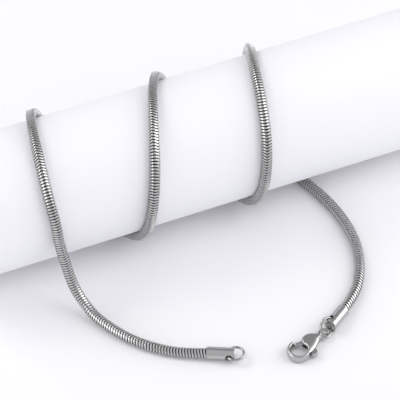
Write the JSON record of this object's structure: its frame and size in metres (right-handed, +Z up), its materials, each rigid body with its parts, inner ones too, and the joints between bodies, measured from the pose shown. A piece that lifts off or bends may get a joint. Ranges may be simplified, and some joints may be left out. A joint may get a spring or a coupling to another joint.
{
  "type": "snake chain on a display cylinder",
  "caption": "Steel snake chain necklace, open, wound round a plain white display cylinder, with end caps, rings and a lobster clasp on the surface in front.",
  "frame": {"origin": "on the surface that the necklace and its cylinder lie on, under the middle of the whole object's box", "axes": "+X along the display cylinder, towards the clasp's side; -Y towards the two loose ends in front; +Z up"},
  "size_m": [0.13, 0.0766, 0.0369],
  "materials": {
    "chain_steel": "polished stainless steel links",
    "polished_steel": "polished stainless steel",
    "white_paint": "matt white paint"
  },
  "bodies": {
    "necklace": {"snake_chain": "chain_steel", "ring_cap": "polished_steel", "end_ring": "polished_steel", "clasp_cap": "polished_steel", "clasp_ring": "polished_steel", "clasp_body": "polished_steel", "lever_pin": "polished_steel", "display_cylinder": "white_paint"},
    "lever": {"clasp_lever": "polished_steel"}
  },
  "joints": [
    {"name": "lever_hinge", "type": "hinge", "parent": "necklace", "child": "lever", "pos_m": [0.00478, -0.03414, 0.00108], "axis": [0, 0, 1], "range_deg": [0, 25], "stiffness_Nm_per_rad": 0.0002, "springref_deg": -20.05}
  ]
}
